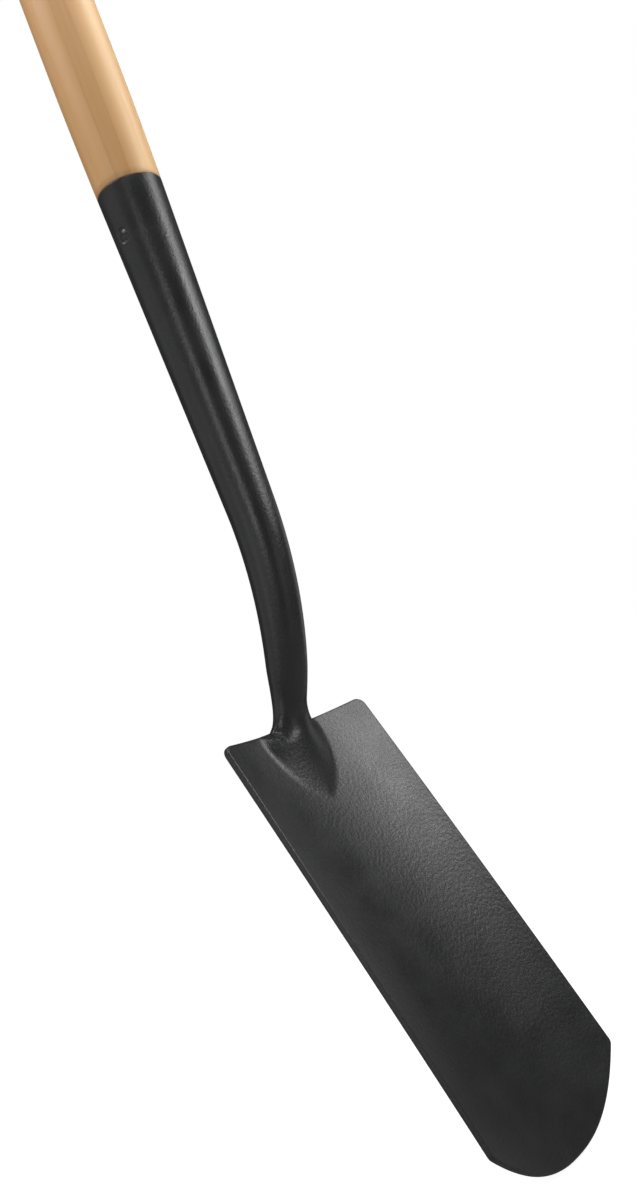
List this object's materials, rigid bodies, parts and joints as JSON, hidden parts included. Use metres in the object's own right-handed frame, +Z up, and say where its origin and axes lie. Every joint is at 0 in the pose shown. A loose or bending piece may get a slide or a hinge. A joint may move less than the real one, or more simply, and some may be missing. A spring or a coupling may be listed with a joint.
{
  "type": "long-handled digging spade",
  "caption": "Narrow digging spade: forged dished blade with rounded nose, pointed frog, gooseneck and closed tapered socket on a long straight ash shaft held by a cross rivet.",
  "frame": {"origin": "on the shaft's axis where a hand or a rack clip holds it, 240 mm below the butt end and 600 mm above the socket's lip", "axes": "+Z up the shaft to its butt, -Y towards the hollow front of the blade, X across the blade"},
  "size_m": [0.1314, 0.0986, 1.4479],
  "materials": {
    "black_coat": "black powder coat on forged steel, satin, with fine orange peel",
    "ash_wood": "ash with straight grain under a thin satin varnish",
    "coated_rivet": "steel rivet ground off and coated with the head"
  },
  "bodies": {
    "root": {"head": "black_coat", "shaft": "ash_wood", "rivet": "coated_rivet"}
  },
  "joints": []
}
